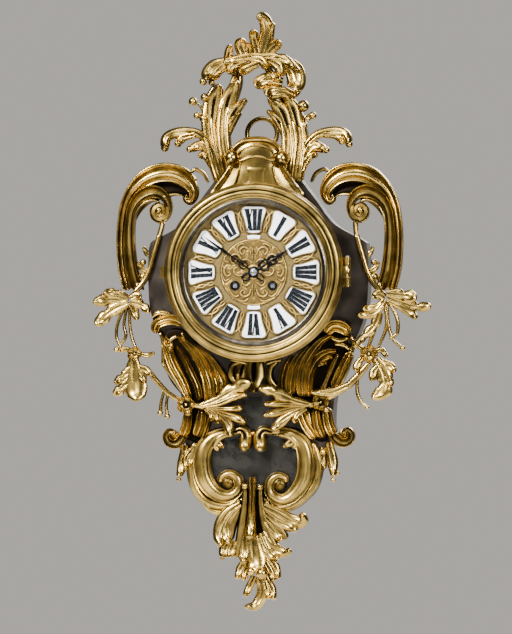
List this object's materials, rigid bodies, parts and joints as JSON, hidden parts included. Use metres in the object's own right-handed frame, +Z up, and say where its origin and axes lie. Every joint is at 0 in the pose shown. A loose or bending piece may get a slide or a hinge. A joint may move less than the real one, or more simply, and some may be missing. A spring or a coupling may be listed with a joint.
{
  "type": "cartel clock",
  "caption": "Rococo gilt-bronze wall clock with hinged glazed door, enamel hour plates, pendulum and striking movement, hung by a ring.",
  "frame": {"origin": "centre of the hanging ring's hole, on the wall plane", "axes": "+X right seen from the front, +Y into the wall, +Z up"},
  "size_m": [0.4087, 0.124, 0.7154],
  "materials": {
    "gilt_bronze": "antique fire-gilt bronze",
    "dark_varnish": "dark varnished sheet",
    "movement_brass": "polished brass",
    "dial_gilt": "matt gilt, embossed",
    "sight_silver": "silvered brass",
    "steel": "polished",
    "blued_steel": "blued",
    "white_enamel": "fired enamel",
    "bell_metal": "polished bell bronze",
    "clear_glass": "clear glass"
  },
  "bodies": {
    "case": {"case_shell": "gilt_bronze", "lower_panel": "dark_varnish", "back_cover": "movement_brass", "case_screws": "steel", "hanging_ring": "gilt_bronze", "cartouche_shield": "gilt_bronze", "crest": "gilt_bronze", "left_stem": "gilt_bronze", "right_stem": "gilt_bronze", "left_c_scroll": "gilt_bronze", "right_c_scroll": "gilt_bronze", "left_garland": "gilt_bronze", "right_garland": "gilt_bronze", "left_console": "gilt_bronze", "right_console": "gilt_bronze", "bezel_apron": "gilt_bronze", "heart_frame": "gilt_bronze", "pendant": "gilt_bronze", "hinge_bracket": "gilt_bronze", "hinge_pin": "steel", "dial_plate": "dial_gilt", "dial_centre": "dial_gilt", "enamel_cartouches": "white_enamel", "enamel_strips": "white_enamel", "winding_bushes": "blued_steel", "front_plate": "movement_brass", "back_plate": "movement_brass", "plate_pillars": "movement_brass", "suspension_cock": "movement_brass", "bell": "bell_metal", "bell_stand": "steel"},
    "door": {"bezel": "gilt_bronze", "sight_ring": "sight_silver", "glass": "clear_glass", "bezel_catch": "gilt_bronze"},
    "minute_group": {"cannon_pinion": "steel", "minute_hand": "blued_steel", "hand_collet": "sight_silver"},
    "minute_wheel_group": {"minute_wheel": "movement_brass"},
    "hour_group": {"hour_wheel": "movement_brass", "hour_hand": "blued_steel"},
    "going_barrel_group": {"going_barrel": "movement_brass"},
    "going_winding_group": {"going_arbor": "steel"},
    "going_click_group": {"going_click": "steel"},
    "strike_barrel_group": {"strike_barrel": "movement_brass"},
    "strike_winding_group": {"strike_arbor": "steel"},
    "strike_click_group": {"strike_click": "steel"},
    "intermediate_group": {"intermediate_wheel": "movement_brass"},
    "centre_group": {"centre_wheel": "movement_brass"},
    "third_group": {"third_wheel": "movement_brass"},
    "escape_group": {"escape_wheel": "movement_brass"},
    "anchor_group": {"anchor": "steel", "crutch": "steel"},
    "pendulum": {"suspension_spring": "steel", "pendulum_rod": "steel", "pendulum_bob": "movement_brass", "rating_nut": "movement_brass"},
    "pin_wheel_group": {"pin_wheel": "movement_brass", "count_wheel": "movement_brass"},
    "hammer_group": {"hammer": "steel"}
  },
  "joints": [
    {"name": "door_hinge", "type": "hinge", "parent": "case", "child": "door", "pos_m": [0.112, -0.109, -0.1686], "axis": [0, 0, 1], "range_deg": [0, 110]},
    {"name": "hand_setting", "type": "hinge", "parent": "case", "child": "minute_group", "pos_m": [0, -0.07, -0.1686], "axis": [0, 1, 0], "continuous": true},
    {"name": "minute_wheel_spin", "type": "hinge", "parent": "case", "child": "minute_wheel_group", "pos_m": [-0.007, -0.07, -0.15648], "axis": [0, 1, 0], "continuous": true},
    {"name": "hour_hand_spin", "type": "hinge", "parent": "case", "child": "hour_group", "pos_m": [0, -0.07, -0.1686], "axis": [0, 1, 0], "continuous": true},
    {"name": "centre_spin", "type": "hinge", "parent": "case", "child": "centre_group", "pos_m": [0, -0.07, -0.1686], "axis": [0, 1, 0], "continuous": true},
    {"name": "intermediate_spin", "type": "hinge", "parent": "case", "child": "intermediate_group", "pos_m": [0.01759, -0.07, -0.16078], "axis": [0, 1, 0], "continuous": true},
    {"name": "going_barrel_spin", "type": "hinge", "parent": "case", "child": "going_barrel_group", "pos_m": [0.0224, -0.07, -0.1848], "axis": [0, 1, 0], "continuous": true},
    {"name": "third_spin", "type": "hinge", "parent": "case", "child": "third_group", "pos_m": [-0.00942, -0.07, -0.15303], "axis": [0, 1, 0], "continuous": true},
    {"name": "escape_spin", "type": "hinge", "parent": "case", "child": "escape_group", "pos_m": [0, -0.07, -0.1406], "axis": [0, 1, 0], "continuous": true},
    {"name": "pendulum_swing", "type": "hinge", "parent": "case", "child": "pendulum", "pos_m": [0, -0.037, -0.1261], "axis": [0, 1, 0], "range_deg": [-4, 4]},
    {"name": "anchor_rock", "type": "hinge", "parent": "case", "child": "anchor_group", "pos_m": [0, -0.07, -0.1261], "axis": [0, 1, 0], "range_deg": [-4, 4]},
    {"name": "going_winding", "type": "hinge", "parent": "case", "child": "going_winding_group", "pos_m": [0.0224, -0.07, -0.1848], "axis": [0, 1, 0], "continuous": true},
    {"name": "strike_winding", "type": "hinge", "parent": "case", "child": "strike_winding_group", "pos_m": [-0.0224, -0.07, -0.1848], "axis": [0, 1, 0], "continuous": true},
    {"name": "going_click_lift", "type": "hinge", "parent": "case", "child": "going_click_group", "pos_m": [0.03193, -0.07, -0.1793], "axis": [0, 1, 0], "range_deg": [0, 12], "stiffness_Nm_per_rad": 0.002},
    {"name": "strike_click_lift", "type": "hinge", "parent": "case", "child": "strike_click_group", "pos_m": [-0.03193, -0.07, -0.1793], "axis": [0, -1, 0], "range_deg": [0, 12], "stiffness_Nm_per_rad": 0.002},
    {"name": "strike_barrel_spin", "type": "hinge", "parent": "case", "child": "strike_barrel_group", "pos_m": [-0.0224, -0.07, -0.1848], "axis": [0, 1, 0], "continuous": true},
    {"name": "pin_wheel_spin", "type": "hinge", "parent": "case", "child": "pin_wheel_group", "pos_m": [-0.03782, -0.07, -0.16576], "axis": [0, 1, 0], "continuous": true},
    {"name": "hammer_lift", "type": "hinge", "parent": "case", "child": "hammer_group", "pos_m": [-0.01551, -0.07, -0.13424], "axis": [0, 1, 0], "range_deg": [0, 15], "stiffness_Nm_per_rad": 0.02}
  ],
  "couplings": [
    {"joint": "minute_wheel_spin", "follows": "hand_setting", "ratio": -0.33333},
    {"joint": "hour_hand_spin", "follows": "hand_setting", "ratio": 0.083333},
    {"joint": "intermediate_spin", "follows": "centre_spin", "ratio": -0.16667},
    {"joint": "going_barrel_spin", "follows": "centre_spin", "ratio": 0.027778},
    {"joint": "third_spin", "follows": "centre_spin", "ratio": -12},
    {"joint": "escape_spin", "follows": "centre_spin", "ratio": 144},
    {"joint": "anchor_rock", "follows": "pendulum_swing", "ratio": 1},
    {"joint": "pin_wheel_spin", "follows": "strike_barrel_spin", "ratio": -6}
  ]
}
